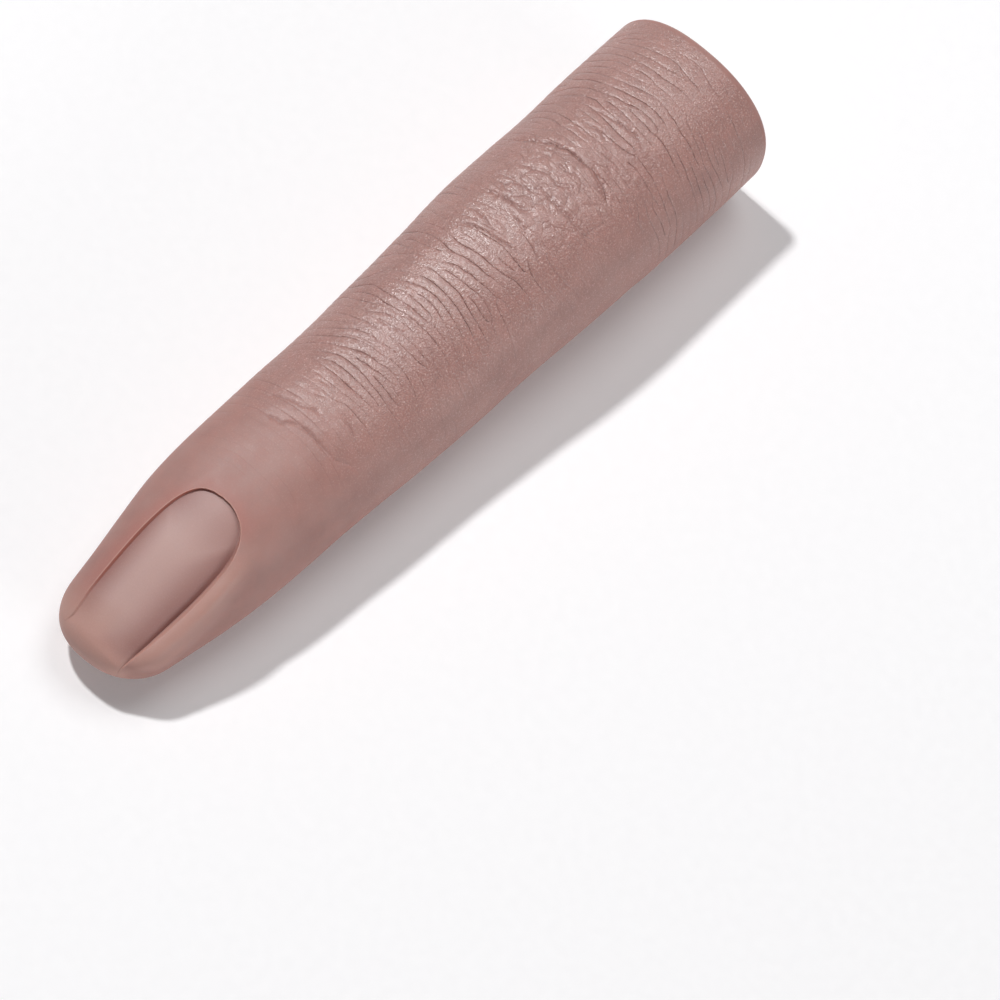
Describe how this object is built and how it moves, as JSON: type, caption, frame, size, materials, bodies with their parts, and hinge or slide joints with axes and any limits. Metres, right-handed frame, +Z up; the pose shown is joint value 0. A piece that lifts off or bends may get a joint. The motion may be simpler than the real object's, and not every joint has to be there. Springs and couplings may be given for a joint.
{
  "type": "nail practice finger",
  "caption": "Life-like soft practice finger with an empty nail bed and a slot behind it for a false nail, bending at two friction hinges inside the skin",
  "frame": {"origin": "Centre of the footprint, on the surface that the finger lies on", "axes": "+X from the fingertip to the cut end, +Z up through the nail side, +Y to the finger's left seen from the cut end"},
  "size_m": [0.0899, 0.0206, 0.0184],
  "materials": {
    "skin": "matte life-like silicone with fine skin lines",
    "nylon": "moulded nylon, natural",
    "steel": "turned stainless steel"
  },
  "bodies": {
    "base": {"base_skin": "skin", "base_bone": "nylon", "base_plug": "nylon", "base_screw": "steel", "middle_knuckle_band": "skin", "middle_joint_pin": "steel", "middle_joint_cap": "steel", "middle_joint_washer_left": "steel", "middle_joint_washer_right": "steel"},
    "middle": {"middle_skin": "skin", "middle_bone": "nylon", "end_knuckle_band": "skin", "end_joint_pin": "steel", "end_joint_cap": "steel", "end_joint_washer_left": "steel", "end_joint_washer_right": "steel"},
    "fingertip": {"fingertip_skin": "skin", "fingertip_bone": "nylon"}
  },
  "joints": [
    {"name": "middle_joint", "type": "hinge", "parent": "base", "child": "middle", "pos_m": [0.0215, 0, 0.0085], "axis": [0, -1, 0], "range_deg": [0, 65], "deforming": ["middle_knuckle_band"]},
    {"name": "end_joint", "type": "hinge", "parent": "middle", "child": "fingertip", "pos_m": [-0.0132, 0, 0.0085], "axis": [0, -1, 0], "range_deg": [0, 50], "deforming": ["end_knuckle_band"]}
  ]
}
